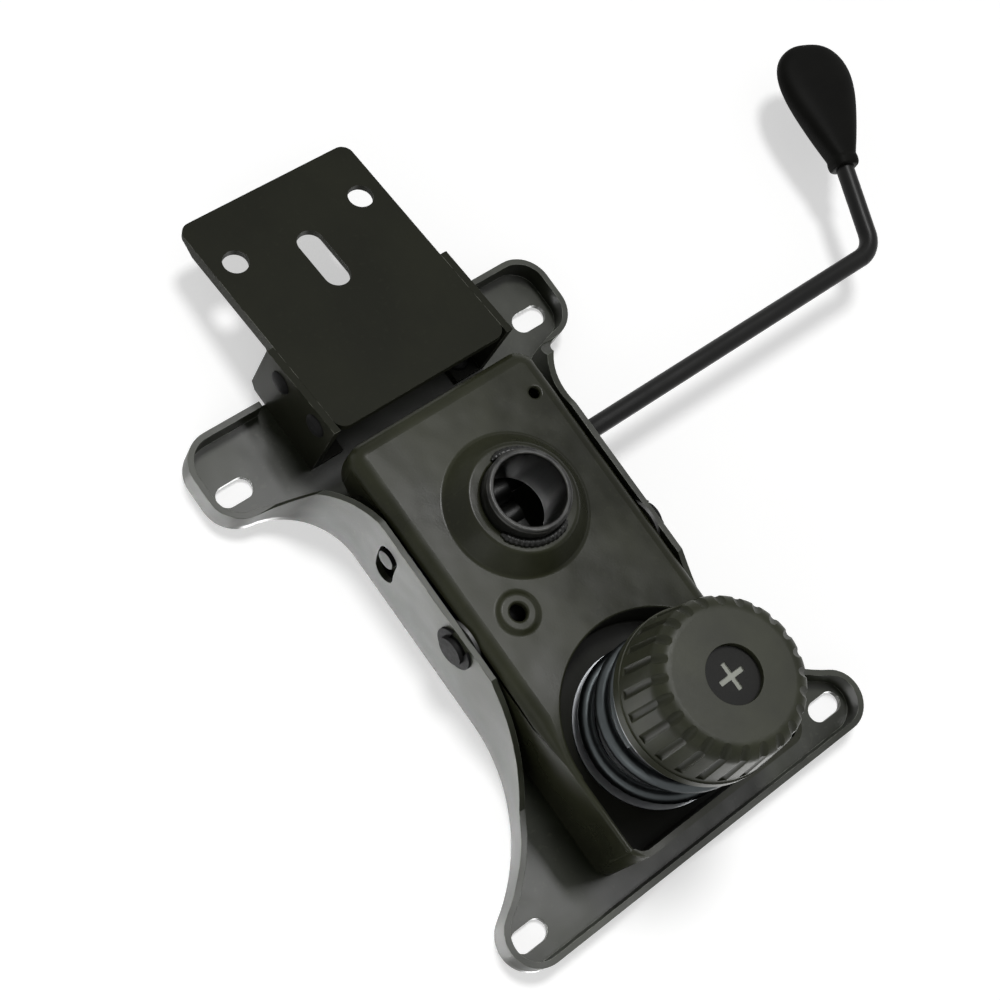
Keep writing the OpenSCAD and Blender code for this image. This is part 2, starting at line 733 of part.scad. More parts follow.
knob_collar_h = 5;
knob_wall = 5;
knob_hub_r = 14;
knob_face_t = 7;
flute_r = 2.4;
flute_depth = 1.1;
head_af = 1.7 * bolt_d;
head_h = 0.65 * bolt_d;
head_sink = 7;
bolt_tip_gap = 2;
head_z = -knob_face_z + head_sink;
cap_t = 3;
cap_r = 11;
cap_recess = 2.5;
mark_w = 2;
mark_depth = 0.8;
collar_step = 0.5;
taper_top_r = knob_d / 2 - collar_step;

module tension_knob() {
    cup_r = knob_face_d / 2 - knob_wall;
    cup_z = -knob_face_z + knob_face_t + cap_t + cap_recess;
    shoulder_x = knob_face_d / 2 - knob_edge;
    shoulder_z = -knob_face_z + knob_edge;
    color(knob_grey) translate([0, tension_y, 0]) difference() {
        rotate_extrude($fn = 96) polygon(concat(
            [[bolt_d / 2, knob_rim_z], [bolt_d / 2, -knob_face_z]],
            [for (a = [0:15:90]) [shoulder_x + knob_edge * sin(a), shoulder_z - knob_edge * cos(a)]],
            [
                [taper_top_r, knob_rim_z - knob_collar_h], [knob_d / 2, knob_rim_z - knob_collar_h],
                [knob_d / 2, knob_rim_z], [cup_r, knob_rim_z], [cup_r, cup_z], [knob_hub_r, cup_z],
                [knob_hub_r, knob_rim_z]
            ]
        ));
        for (i = [0:knob_flutes - 1]) rotate(360 * i / knob_flutes) knob_flute();
        translate([0, 0, -knob_face_z - past]) cylinder(h = cap_t + cap_recess + past, r = cap_r);
        translate([0, 0, -knob_face_z]) cylinder(h = head_z + head_h + knob_face_z, d = head_af / cos(30), $fn = 6);
    }
}

// Flute that follows the knob's taper from under its collar, then crosses its shoulder
module knob_flute() {
    low = -knob_face_z + knob_edge / 2;
    high = knob_rim_z - knob_collar_h - flute_r;
    lean = atan((taper_top_r - knob_face_d / 2) / (high - low));
    out = knob_edge + flute_r - flute_depth;
    translate([knob_face_d / 2 + flute_r - flute_depth, 0, low]) rotate([0, lean, 0])
        cylinder(h = (high - low) / cos(lean), r = flute_r, $fn = 24);
    translate([knob_face_d / 2 - knob_edge, 0, -knob_face_z + knob_edge]) rotate([0, 45, 0])
        translate([out, 0, -knob_edge]) cylinder(h = 2 * knob_edge, r = flute_r, $fn = 24);
}

module tension_bolt() {
    tip_z = web_z - bolt_tip_gap;
    color(zinc) translate([0, tension_y, 0]) {
        translate([0, 0, head_z]) cylinder(h = head_h, d = head_af / cos(30), $fn = 6);
        translate([0, 0, head_z + eps]) cylinder(h = tip_z - head_z - eps, d = bolt_d);
    }
}

module knob_cap() {
    color(black) translate([0, tension_y, -knob_face_z + cap_recess]) difference() {
        cylinder(h = cap_t, r = cap_r);
        for (a = [0, 90]) rotate(a) translate([-cap_r / 2, -mark_w / 2, -past])
            cube([cap_r, mark_w, past + mark_depth]);
    }
}

nut_len = 36;
saddle_t = 3;
nut_gap_top = 1;
nut_z = web_z - nut_gap_top - nut_d / 2;
saddle_floor = nut_z - nut_d / 2 - rest_gap;
saddle_side_gap = 1;
saddle_half = nut_len / 2 + saddle_side_gap;
saddle_depth = 28;
saddle_y1 = tension_y - saddle_depth / 2;
saddle_foot = 12;
saddle_rivet_x = saddle_half + saddle_t + saddle_foot / 2 + saddle_side_gap;
saddle_rivet_pitch = 16;
saddle_rivet_ys = [tension_y - saddle_rivet_pitch / 2, tension_y + saddle_rivet_pitch / 2];
bolt_pass = bolt_d + 2;
nut_swing = (nut_z - pivot_z) * sin(tilt_max) + tension_ahead * (1 - cos(tilt_max)) + rivet_d / 2;

module rocker_nut() {
    color(zinc) difference() {
        x_cyl(-nut_len / 2, nut_len / 2, tension_y, nut_z, nut_d / 2);
        translate([0, tension_y, 0]) cylinder(h = seat_z, r = bolt_d / 2 + run_clear);
    }
}

module nut_saddle() {
    floor_low = saddle_floor - saddle_t;
    color(steel) difference() {
        union() {
            translate([-saddle_half - saddle_t, saddle_y1, floor_low])
                cube([2 * (saddle_half + saddle_t), saddle_depth, saddle_t]);
            both_sides() {
                translate([saddle_half, saddle_y1, floor_low]) cube([saddle_t, saddle_depth, web_z - floor_low]);
                translate([saddle_half + saddle_t - eps, saddle_y1, web_z - saddle_t])
                    cube([saddle_foot + eps, saddle_depth, saddle_t]);
            }
        }
        translate([-bolt_pass / 2, tension_y - nut_swing - bolt_pass / 2, floor_low - past])
            cube([bolt_pass, nut_swing + bolt_pass, saddle_t + 2 * past]);
        both_sides() for (y = saddle_rivet_ys) translate([saddle_rivet_x, y, web_z - saddle_t - past])
            cylinder(h = saddle_t + 2 * past, d = rivet_d);
    }
}

module saddle_rivets() {
    color(zinc) both_sides() for (y = saddle_rivet_ys)
        translate([saddle_rivet_x, y, web_z - saddle_t]) flush_rivet(saddle_t + seat_sheet);
}

// Height lever

rod_end_x = waist + 1;
// The bend is a little thicker than the rod, as bent rod is
bend_swell = 0.1;
elbow_r = bend_r + rod_d / 2;
elbow_back = elbow_r * tan(lever_bend / 2);
handle_overlap = 22;
handle_grip = 4;

// Places children at the bend's corner, with +X along the rod's outer leg
module at_bend() {
    translate([-lever_reach, lever_behind, lever_z]) rotate(180 - lever_bend) children();
}

module lever_rod() {
    color(black) {
        x_cyl(-lever_reach + elbow_back - bend_swell, rod_end_x, lever_behind, lever_z, rod_d / 2);
        translate([-lever_reach + elbow_back, lever_behind + elbow_r, lever_z]) rotate(270 - lever_bend)
            rotate_extrude(angle = lever_bend) translate([elbow_r, 0]) circle(d = rod_d + bend_swell);
        at_bend() translate([elbow_back - bend_swell, 0, 0]) rotate([0, 90, 0])
            cylinder(h = neck_len + handle_overlap - elbow_back + bend_swell, d = rod_d);
    }
}

// Paddle handle: a plan that widens to a round end, within a lens-shaped side view
module lever_handle() {
    end_r = handle_w / 2;
    flare = asin((end_r - handle_neck_w / 2) / (handle_len - end_r));
    widest_x = handle_len - end_r - end_r * sin(flare);
    widest_y = end_r * cos(flare);
    color(black) at_bend() translate([neck_len, 0, 0]) difference() {
        intersection() {
            translate([0, 0, -handle_t]) linear_extrude(2 * handle_t) {
                polygon([
                    [0, -handle_neck_w / 2], [widest_x, -widest_y],
                    [widest_x, widest_y], [0, handle_neck_w / 2]
                ]);
                translate([handle_len - end_r, 0]) circle(end_r);
            }
            rotate([90, 0, 0]) translate([0, 0, -handle_w]) linear_extrude(2 * handle_w) polygon([
                [0, -handle_t / 2], [handle_len / 2, -handle_t / 2], [handle_len, -handle_grip],
                [handle_len, handle_grip], [handle_len / 2, handle_t / 2], [0, handle_t / 2]
            ]);
        }
        translate([-past, 0, 0]) rotate([0, 90, 0]) cylinder(h = handle_overlap + past, d = rod_d);
    }
}

tongue_w = 14;
tongue_hub_wall = 3;
tongue_hub_r = rod_d / 2 + tongue_hub_wall;
tongue_t = 3;
nose_r = 5;

module lever_tongue() {
    color(zinc) difference() {
        union() {
            x_cyl(-tongue_w / 2, tongue_w / 2, lever_behind, lever_z, tongue_hub_r);
            translate([-tongue_w / 2, lever_behind - tongue_reach, lever_z - tongue_t / 2])
                cube([tongue_w, tongue_reach, tongue_t]);
            x_cyl(-tongue_w / 2, tongue_w / 2, 0, lever_z - tongue_t / 2 + nose_r / 2, nose_r);
        }
        x_cyl(-tongue_w, tongue_w, lever_behind, lever_z, rod_d / 2);
    }
}

collar_t = 5;
collar_r = tongue_hub_r;

module lever_collars() {
    inner = pan_in - bush_flange_t - face_gap;
    color(zinc) both_sides() difference() {
        x_cyl(inner - collar_t, inner, lever_behind, lever_z, collar_r);
        x_cyl(inner - collar_t - past, inner + past, lever_behind, lever_z, rod_d / 2);
    }
}

housing_pan();
gas_lift_bush();
bush_brace();
pivot_bushes();
lever_bushes();
upper_spring_seat();
tension_spring();
front_bumpers();
rear_bumpers();
seat_plate();
bracket_plate();
bracket_cheeks();
cheek_rivets();
plate_rivets();
nut_saddle();
saddle_rivets();
pivot_pin();
pivot_clips();
thrust_washers();
rocker_nut();
lower_spring_seat();
knob_washer();
tension_knob();
tension_bolt();
knob_cap();
lever_rod();
lever_handle();
lever_tongue();
lever_collars();
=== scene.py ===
import math

import bmesh
import bpy
from mathutils import Matrix, Vector


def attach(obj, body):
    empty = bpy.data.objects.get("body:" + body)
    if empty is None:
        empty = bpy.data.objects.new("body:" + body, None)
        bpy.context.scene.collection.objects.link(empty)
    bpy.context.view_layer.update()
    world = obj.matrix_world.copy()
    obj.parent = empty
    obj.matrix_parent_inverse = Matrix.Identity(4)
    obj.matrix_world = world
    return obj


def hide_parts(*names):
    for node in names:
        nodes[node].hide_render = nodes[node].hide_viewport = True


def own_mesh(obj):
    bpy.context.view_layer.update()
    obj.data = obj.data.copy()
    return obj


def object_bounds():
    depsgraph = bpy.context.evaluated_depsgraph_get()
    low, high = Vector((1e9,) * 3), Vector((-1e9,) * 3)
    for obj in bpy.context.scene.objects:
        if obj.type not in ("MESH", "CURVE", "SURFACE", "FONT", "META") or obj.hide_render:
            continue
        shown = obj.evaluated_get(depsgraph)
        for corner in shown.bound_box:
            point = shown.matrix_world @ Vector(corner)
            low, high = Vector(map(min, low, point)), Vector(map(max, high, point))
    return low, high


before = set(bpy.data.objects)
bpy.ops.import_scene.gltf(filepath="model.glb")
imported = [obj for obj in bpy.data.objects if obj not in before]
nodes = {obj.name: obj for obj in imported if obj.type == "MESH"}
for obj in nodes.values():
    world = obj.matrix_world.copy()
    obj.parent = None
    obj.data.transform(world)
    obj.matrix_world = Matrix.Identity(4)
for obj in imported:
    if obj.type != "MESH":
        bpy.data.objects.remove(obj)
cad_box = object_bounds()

scene = bpy.context.scene
MM = 0.001

# The studio: the mechanism lies upside down on its seat face, as in the photograph, on a pale table.
# The camera looks up at it from below its left front, and the table shows only from that side.
# The table rides with the seat plate, and clears where the lever's handle dips into it.
scene.view_settings.view_transform = "Standard"

camera_place = Vector((0.33185, -0.07273, -0.63773))
camera_right = Vector((-0.75431, -0.57952, -0.30849))
camera_look = Vector((-0.44481, 0.10553, 0.88939))
camera_lens = 70.4
sensor_width = 36
clip_start = 0.01

camera = bpy.data.objects.new("camera", bpy.data.cameras.new("camera"))
scene.collection.objects.link(camera)
camera.data.lens = camera_lens
camera.data.sensor_width = sensor_width
camera.data.clip_start = clip_start
camera_up = camera_right.cross(camera_look)
camera.matrix_world = Matrix.Translation(camera_place) @ Matrix(
    (camera_right, camera_up, -camera_look)
).transposed().to_4x4()
scene.camera = camera

table_colour = (0.65, 0.65, 0.647)
paper_roughness = 0.8
paper_sheen = 0.1
paper_lift = 0.50
stage_half = 4.0
stage_gap = 0.4 * MM
touching = 4 * MM
dip_depth = 70 * MM
dip_rays = 16
dip_limit = 0.995


def node_maker(tree):
    """Returns a function that adds a node to a tree and sets its properties."""
    def make(kind, **settings):
        made = tree.nodes.new(kind if kind.startswith("NodeGroup") else "ShaderNode" + kind)
        for name, value in settings.items():
            setattr(made, name, value)
        return made

    return make


def node_tree(owner):
    """Empties the nodes of a material or world and returns a maker of new ones and a maker of links."""
    owner.use_nodes = True
    tree = owner.node_tree
    tree.nodes.clear()
    return node_maker(tree), tree.links.new


def maths(make, link, operation, *values, clamp=False):
    """The result of a maths node on values that are sockets or plain numbers."""
    node = make("Math", operation=operation, use_clamp=clamp)
    for value, socket in zip(values, node.inputs):
        if isinstance(value, float):
            socket.default_value = value
        else:
            link(value, socket)
    return node.outputs[0]


def either(make, link, share, first, second):
    """A mix of two shader nodes by a share."""
    mix = make("MixShader")
    link(share, mix.inputs[0])
    link(first.outputs[0], mix.inputs[1])
    link(second.outputs[0], mix.inputs[2])
    return mix


def seen_plainly(make, link, ray):
    """1 for rays from the camera, through clear things and off shiny ones, and 0 for all others."""
    direct = maths(make, link, "MAXIMUM", ray.outputs["Is Camera Ray"], ray.outputs["Is Transmission Ray"])
    return maths(make, link, "MAXIMUM", direct, ray.outputs["Is Glossy Ray"])


def one_sided(name):
    """Matt paper that is clear from behind, close to a face that lies on it, and before a part in it."""
    material = bpy.data.materials.new(name)
    make, link = node_tree(material)
    surface = make("BsdfPrincipled")
    surface.inputs["Base Color"].default_value = (*table_colour, 1)
    surface.inputs["Roughness"].default_value = paper_roughness
    surface.inputs["Specular IOR Level"].default_value = paper_sheen
    surface.inputs["Emission Color"].default_value = (1, 1, 1, 1)
    clear = make("BsdfTransparent")
    ray = make("LightPath")
    lift = maths(make, link, "MULTIPLY", seen_plainly(make, link, ray), paper_lift)
    link(lift, surface.inputs["Emission Strength"])
    near = maths(make, link, "LESS_THAN", ray.outputs["Ray Length"], touching)
    hidden = maths(make, link, "MAXIMUM", make("NewGeometry").outputs["Backfacing"], near)
    sheet = either(make, link, hidden, surface, clear)
    behind = make("AmbientOcclusion", inside=True, samples=dip_rays)
    behind.inputs["Distance"].default_value = dip_depth
    dips = maths(make, link, "LESS_THAN", behind.outputs["AO"], dip_limit)
    opened = either(make, link, dips, sheet, clear)
    viewed = either(make, link, ray.outputs["Is Camera Ray"], sheet, opened)
    link(viewed.outputs[0], make("OutputMaterial").inputs["Surface"])
    return material


def stage_plane(name, z, facing, material):
    """A square stage surface at height z that shows on one side only and holds back no light."""
    bm = bmesh.new()
    bmesh.ops.create_grid(bm, x_segments=1, y_segments=1, size=stage_half)
    bmesh.ops.translate(bm, verts=bm.verts, vec=(0, 0, z))
    if facing < 0:
        bmesh.ops.reverse_faces(bm, faces=bm.faces)
    mesh = bpy.data.meshes.new(name)
    bm.to_mesh(mesh)
    bm.free()
    mesh.materials.append(material)
    plane = bpy.data.objects.new(name, mesh)
    scene.collection.objects.link(plane)
    plane.visible_shadow = False
    return plane


paper = one_sided("table_paper")
table = stage_plane("table", cad_box[1].z + stage_gap, -1, paper)
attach(table, "seat_frame")
floor = stage_plane("floor", cad_box[0].z - stage_gap, 1, paper)
floor.visible_diffuse = False
floor.visible_glossy = False

fill_level = 0.27
white_level = 1.0
sky = bpy.data.worlds.new("studio")
scene.world = sky
make, link = node_tree(sky)
level = make("MapRange")
level.inputs["To Min"].default_value = fill_level
level.inputs["To Max"].default_value = white_level
link(seen_plainly(make, link, make("LightPath")), level.inputs["Value"])
backdrop = make("Background")
backdrop.inputs["Color"].default_value = (1, 1, 1, 1)
link(level.outputs[0], backdrop.inputs["Strength"])
link(backdrop.outputs[0], make("OutputWorld").inputs["Surface"])


def sun(name, towards, strength, softness):
    """A broad lamp that shines along a direction from the whole of one side."""
    lamp = bpy.data.objects.new(name, bpy.data.lights.new(name, "SUN"))
    scene.collection.objects.link(lamp)
    lamp.data.energy = strength
    lamp.data.angle = math.radians(softness)
    lamp.rotation_mode = "QUATERNION"
    lamp.rotation_quaternion = towards.to_track_quat("-Z", "Y")


def panel(name, place, aim, width, height, power):
    """A soft lamp panel at a place, turned to an aim point, with its height along Y."""
    lamp = bpy.data.objects.new(name, bpy.data.lights.new(name, "AREA"))
    scene.collection.objects.link(lamp)
    lamp.data.shape = "RECTANGLE"
    lamp.data.size = width
    lamp.data.size_y = height
    lamp.data.energy = power
    back = (Vector(place) - Vector(aim)).normalized()
    across = Vector((0, 1, 0)).cross(back).normalized()
    turn = Matrix((across, back.cross(across), back)).transposed().to_4x4()
    lamp.matrix_world = Matrix.Translation(place) @ turn
    return lamp


key_from = -camera_look * 0.70 + camera_right * 0.22 + camera_up * 0.62
sun("key", -key_from, strength=1.7, softness=14)
sun("top_key", Vector((0.35, 0.45, -1.0)), strength=1.5, softness=25)
strip = panel("strip", (-0.195, -0.03, -0.62), aim=(-0.05, 0.0, 0.05), width=0.06, height=0.38, power=3.0)
strip.visible_diffuse = False
glow = panel("table_glow", (0.30, 0.03, 0.60), aim=(0.05, -0.03, 0.04), width=0.5, height=0.5, power=1.9)
glow.data.cycles.use_multiple_importance_sampling = False
panel("left_panel", (0.60, -0.20, -0.25), aim=(0.05, -0.06, 0.05), width=0.4, height=0.4, power=0.7)


# The housing is a pan pressed from 2.5 mm steel sheet, with a drawn boss round the gas lift socket
# and a round pocket for the spring. It is painted satin black and its rims are rounded by the paint.
# The inside of the pocket is darkened with painted shade, and its paint is duller there.
bend_r = 6.0 * MM
bend_steps = 5
rim_r = 1.0 * MM
bend_starts = -72 * MM
rim_ends = -90 * MM
tips_start = -128 * MM
notch_y = 44 * MM
notch_low = 30 * MM
notch_high = 37 * MM
floor_low = 17 * MM
pan_side = 45 * MM
pan_back = 52 * MM
corner_r = 8 * MM
pocket_y = -97 * MM
pocket_r = 42.3 * MM
pocket_low = 17.5 * MM
pocket_roof = 34.2 * MM
# How dark the painted shade inside the spring pocket is.
pocket_shade = 0.8
skin = 0.1 * MM
same_point = 0.002 * MM
sharp_edge = math.radians(28)
# The colour of the painted shade in hollows, and how much duller the paint is under it.
painted_shade_colour = (0.0015, 0.0015, 0.001)
painted_shade_dulling = 0.4
dust_dulling = 0.16
speck_share = 0.35
wave_height = 1.5 * MM
peel_height = 0.2 * MM


def finished(bm, name, material, body, sharp=math.radians(35)):
    """Turns a bmesh into a smooth piece on a body, with edges sharper than the limit kept crisp."""
    for face in bm.faces:
        face.smooth = True
    for edge in bm.edges:
        edge.smooth = len(edge.link_faces) == 2 and edge.calc_face_angle() < sharp
    mesh = bpy.data.meshes.new(name)
    bm.to_mesh(mesh)
    bm.free()
    mesh.materials.append(material)
    piece = bpy.data.objects.new(name, mesh)
    scene.collection.objects.link(piece)
    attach(piece, body)
    return piece


def solid_copy(node, flat=math.radians(0.4)):
    """A copy of a CAD solid with its loose triangles joined into whole faces."""
    bm = bmesh.new()
    bm.from_mesh(nodes[node].data)
    bmesh.ops.remove_doubles(bm, verts=bm.verts, dist=same_point)
    bmesh.ops.dissolve_limit(
        bm, angle_limit=flat, verts=bm.verts, edges=bm.edges, use_dissolve_boundaries=False
    )
    return bm


def everything(bm):
    """All the vertices, edges and faces of a bmesh."""
    return bm.verts[:] + bm.edges[:] + bm.faces[:]


def is_sharp(edge):
    """True on an edge between two faces that meet at a clear angle."""
    return len(edge.link_faces) == 2 and edge.calc_face_angle() > sharp_edge


def middle_of(edge):
    """The middle point of an edge."""
    return (edge.verts[0].co + edge.verts[1].co) / 2


def keep_flats(piece):
    """Keeps flat faces evenly lit beside their rounded rims."""
    weighted = piece.modifiers.new("flat_faces", "WEIGHTED_NORMAL")
    weighted.keep_sharp = True
    weighted.weight = 100


def blend(make, link, share, first, second):
    """A colour that goes from a first one to a second by a share; the second may be a plain colour."""
    mix = make("Mix", data_type="RGBA")
    link(share, mix.inputs["Factor"])
    link(first, mix.inputs["A"])
    if isinstance(second, tuple):
        mix.inputs["B"].default_value = (*second, 1)
    else:
        link(second, mix.inputs["B"])
    return mix.outputs["Result"]


def film_group():
    """Shader group of a sprayed paint film: cloudy colour, dull patches, orange peel, rubbed rims that are
    lighter both as wear and as a painted highlight, and painted shade.
    """
    group = bpy.data.node_groups.new("paint_film", "ShaderNodeTree")
    for name, kind, value in (
        ("Paint", "NodeSocketColor", (0.03, 0.03, 0.027, 1)),
        ("Dust", "NodeSocketColor", (0.06, 0.06, 0.05, 1)),
        ("Rubbed and Highlit", "NodeSocketColor", (0.2, 0.2, 0.19, 1)),
        ("Dulled", "NodeSocketFloat", 0.5),
        ("Gloss", "NodeSocketFloat", 0.4),
        ("Rim", "NodeSocketFloat", 0.0),
        ("Painted Shade", "NodeSocketFloat", 0.0),
    ):
        made = group.interface.new_socket(name, in_out="INPUT", socket_type=kind)
        made.default_value = value
    for name, kind in (
        ("Colour", "NodeSocketColor"), ("Roughness", "NodeSocketFloat"),
        ("Height", "NodeSocketFloat"), ("Waves", "NodeSocketFloat"),
    ):
        group.interface.new_socket(name, in_out="OUTPUT", socket_type=kind)
    make = node_maker(group)
    link = group.links.new
    given = make("NodeGroupInput").outputs
    put = make("NodeGroupOutput").inputs
    place = make("TexCoord")

    def noise(scale, detail, low, high):
        texture = make("TexNoise")
        texture.inputs["Scale"].default_value = scale
        texture.inputs["Detail"].default_value = detail
        link(place.outputs["Object"], texture.inputs["Vector"])
        ramp = make("MapRange")
        ramp.inputs["From Min"].default_value = low
        ramp.inputs["From Max"].default_value = high
        link(texture.outputs["Fac"], ramp.inputs["Value"])
        return ramp.outputs[0]

    dust = maths(make, link, "MULTIPLY", noise(26, 5, 0.38, 0.68), given["Dulled"])
    specks = maths(make, link, "MULTIPLY", noise(420, 3, 0.60, 0.72), speck_share)
    # Rims take the rubbed colour, which is both wear and a painted highlight along the edges.
    wear_and_highlight = maths(make, link, "MULTIPLY", noise(170, 4, 0.42, 0.58), given["Rim"])
    dusty = blend(make, link, dust, given["Paint"], given["Dust"])
    specked = blend(make, link, specks, dusty, given["Dust"])
    worn_and_highlit = blend(make, link, wear_and_highlight, specked, given["Rubbed and Highlit"])
    # Where the shade input is set, the colour darkens to a painted shade and the roughness rises.
    link(blend(make, link, given["Painted Shade"], worn_and_highlit, painted_shade_colour), put["Colour"])
    dulling = maths(make, link, "MULTIPLY_ADD", dust, dust_dulling, given["Gloss"])
    shaded_roughness = maths(make, link, "MULTIPLY_ADD", given["Painted Shade"], painted_shade_dulling, dulling, clamp=True)
    link(shaded_roughness, put["Roughness"])
    link(noise(1300, 2, 0.2, 0.8), put["Height"])
    link(noise(34, 2, 0.2, 0.8), put["Waves"])
    return group


paint_film = film_group()


def painted(name, paint, dust, rubbed_and_highlit, dulled, gloss, sheen, wave=0.3, peel=0.05):
    """Painted steel: a film group with its own colours on a satin surface."""
    material = bpy.data.materials.new(name)
    make, link = node_tree(material)
    film = make("Group")
    film.node_tree = paint_film
    film.inputs["Paint"].default_value = (*paint, 1)
    film.inputs["Dust"].default_value = (*dust, 1)
    # The rubbed colour stands for worn paint and for a painted highlight on the rims.
    film.inputs["Rubbed and Highlit"].default_value = (*rubbed_and_highlit, 1)
    film.inputs["Dulled"].default_value = dulled
    film.inputs["Gloss"].default_value = gloss
    link(make("Attribute", attribute_name="rim").outputs["Fac"], film.inputs["Rim"])
    # A mesh attribute lays painted shade on the faces that carry it.
    link(make("Attribute", attribute_name="painted_shade").outputs["Fac"], film.inputs["Painted Shade"])
    waves = make("Bump")
    waves.inputs["Strength"].default_value = wave
    waves.inputs["Distance"].default_value = wave_height
    link(film.outputs["Waves"], waves.inputs["Height"])
    bump = make("Bump")
    bump.inputs["Strength"].default_value = peel
    bump.inputs["Distance"].default_value = peel_height
    link(film.outputs["Height"], bump.inputs["Height"])
    link(waves.outputs["Normal"], bump.inputs["Normal"])
    surface = make("BsdfPrincipled")
    surface.inputs["Specular IOR Level"].default_value = sheen
    link(film.outputs["Colour"], surface.inputs["Base Color"])
    link(film.outputs["Roughness"], surface.inputs["Roughness"])
    link(bump.outputs["Normal"], surface.inputs["Normal"])
    link(surface.outputs[0], make("OutputMaterial").inputs["Surface"])
    return material


def on_bend(middle):
    """True on the lower outside edge of the pan, behind the spring pocket."""
    if middle.z > floor_low + skin or middle.y < bend_starts:
        return False
    side = abs(middle.x) - pan_side
    back = middle.y - pan_back
    return max(side, back) > -skin or (side > -corner_r and back > -corner_r)


def stays_sharp(middle):
    """True at the pan's front tips and its rear notch, where the edges are too short to round."""
    at_tip = middle.y < tips_start
    at_notch = middle.y > notch_y and notch_low < middle.z < notch_high
    return at_tip or at_notch


def in_pocket(middle):
    """True on the inside of the spring pocket."""
    if not pocket_low < middle.z < pocket_roof:
        return False
    if middle.y > pocket_y:
        return math.hypot(middle.x, middle.y - pocket_y) < pocket_r
    return abs(middle.x) < pan_side


housing_paint = painted(
    "housing_paint", (0.0125, 0.0134, 0.0070), (0.028, 0.030, 0.0160), (0.10, 0.105, 0.085),
    dulled=0.8, gloss=0.24, sheen=0.12,
)
bm = solid_copy("housing_pan")
for y in (bend_starts, rim_ends, tips_start):
    bmesh.ops.bisect_plane(bm, geom=everything(bm), dist=1e-6, plane_co=(0, y, 0), plane_no=(0, 1, 0))
# The faces inside the spring pocket carry painted shade.
shade_layer = bm.faces.layers.float.new("painted_shade")
for face in bm.faces:
    face[shade_layer] = pocket_shade if in_pocket(face.calc_center_median()) else 0.0
share = bm.edges.layers.float.new("bevel_weight_edge")
for edge in filter(is_sharp, bm.edges):
    middle = middle_of(edge)
    edge[share] = 0.0 if stays_sharp(middle) else 1.0 if on_bend(middle) else rim_r / bend_r
shell = finished(bm, "housing_shell", housing_paint, "housing")
rounding = shell.modifiers.new("bends", "BEVEL")
rounding.limit_method = "WEIGHT"
rounding.width = bend_r
rounding.segments = bend_steps
rounding.use_clamp_overlap = False
rounding.loop_slide = False
keep_flats(shell)
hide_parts("housing_pan")


# The gas lift bush is a turned steel tube pressed into the boss, with a bevelled mouth.
# A brace across the pan holds its top, and both are painted black with the housing.
bush_rim = 0.4 * MM


def round_edges(bm, radius, steps=3, chosen=lambda middle: True):
    """Rounds the sharp edges that are chosen by their middle point, and marks the new faces as rims."""
    rim = bm.faces.layers.float.get("rim") or bm.faces.layers.float.new("rim")
    edges = [e for e in bm.edges if is_sharp(e) and chosen(middle_of(e))]
    made = bmesh.ops.bevel(
        bm, geom=edges, offset=radius, offset_type="OFFSET", segments=steps, profile=0.5,
        affect="EDGES", clamp_overlap=True, material=-1,
    )
    for face in made["faces"]:
        face[rim] = 1.0


def dress(material, *names):
    """Gives CAD solids their finish."""
    for name in names:
        nodes[name].data.materials.clear()
        nodes[name].data.materials.append(material)


bush_paint = painted(
    "bush_paint", (0.006, 0.006, 0.0055), (0.014, 0.0145, 0.0125), (0.05, 0.05, 0.045),
    dulled=0.4, gloss=0.3, sheen=0.2,
)
bm = solid_copy("gas_lift_bush")
round_edges(bm, bush_rim)
bush = finished(bm, "bush_tube", bush_paint, "housing")
keep_flats(bush)
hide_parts("gas_lift_bush")
dress(bush_paint, "bush_brace")


# Two weld beads hold the bush in the boss. Each is laid by hand in overlapping drops,
# so it ripples along its length and thins out at both ends, and the paint covers it.
bead_r = 1.9 * MM
bead_ring = 18.2 * MM
bead_z = 7.4 * MM
bead_arc = math.radians(95)
bead_steps = 72
bead_sides = 12
bead_drops = 15
drop_least = 0.82
drop_swell = 0.24
end_size = 0.35
end_growth = 7
bead_crease = math.radians(70)


def weld_bead(name, middle):
    """A rippled bead on the boss, bent round the bush about a middle angle."""
    bm = bmesh.new()
    ring = bmesh.ops.create_circle(bm, segments=bead_sides, radius=bead_r, cap_ends=True)["verts"]
    bmesh.ops.rotate(bm, verts=ring, cent=(0, 0, 0), matrix=Matrix.Rotation(math.pi / 2, 3, "X"))
    bmesh.ops.translate(bm, verts=ring, vec=(bead_ring, 0, bead_z))
    bmesh.ops.spin(
        bm, geom=everything(bm), cent=(0, 0, 0), axis=(0, 0, 1), dvec=(0, 0, 0),
        angle=bead_arc, steps=bead_steps, use_merge=False, use_duplicate=False,
    )
    for vert in bm.verts:
        along = math.atan2(vert.co.y, vert.co.x) / bead_arc
        drop = along * bead_drops % 1
        taper = min(1, end_size + end_growth * min(along, 1 - along))
        core = Vector((vert.co.x, vert.co.y, 0)).normalized() * bead_ring + Vector((0, 0, bead_z))
        vert.co = core + (vert.co - core) * (drop_least + drop_swell * drop) * taper
    turn = Matrix.Rotation(middle - bead_arc / 2, 3, "Z")
    bmesh.ops.rotate(bm, verts=bm.verts, cent=(0, 0, 0), matrix=turn)
    bmesh.ops.recalc_face_normals(bm, faces=bm.faces)
    return finished(bm, name, bush_paint, "housing", bead_crease)


weld_bead("weld_front", math.radians(-70))
weld_bead("weld_back", math.radians(130))


